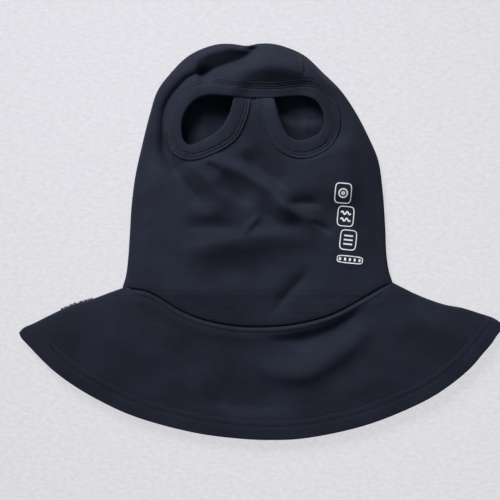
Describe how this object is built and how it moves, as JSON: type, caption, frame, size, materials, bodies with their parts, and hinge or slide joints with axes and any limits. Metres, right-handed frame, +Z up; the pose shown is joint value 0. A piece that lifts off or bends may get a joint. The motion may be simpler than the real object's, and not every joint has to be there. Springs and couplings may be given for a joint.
{
  "type": "fire-resistant balaclava",
  "caption": "Knitted fire-resistant hood with two bound eye openings and a long round cape, lying flat on its back.",
  "frame": {"origin": "under the middle of the laid outline, on the floor that the garment lies on", "axes": "+X across the garment to the wearer's left, +Y from the hem to the crown, +Z up from the floor out of the face"},
  "size_m": [0.5334, 0.4366, 0.0293],
  "materials": {
    "knit": "fine rib double knit, matt",
    "tape": "folded knitted tape, matt, with twin rows of stitches",
    "label": "woven ribbon",
    "transfer": "thin heat transfer film"
  },
  "bodies": {
    "root": {"hood_front": "knit", "hood_back": "knit", "cape_front": "knit", "cape_back": "knit", "brow_band": "tape", "left_nose_binding": "tape", "right_nose_binding": "tape", "side_label": "label", "mark_upper": "transfer", "mark_middle": "transfer", "mark_lower": "transfer", "mark_bar": "transfer"}
  },
  "joints": []
}
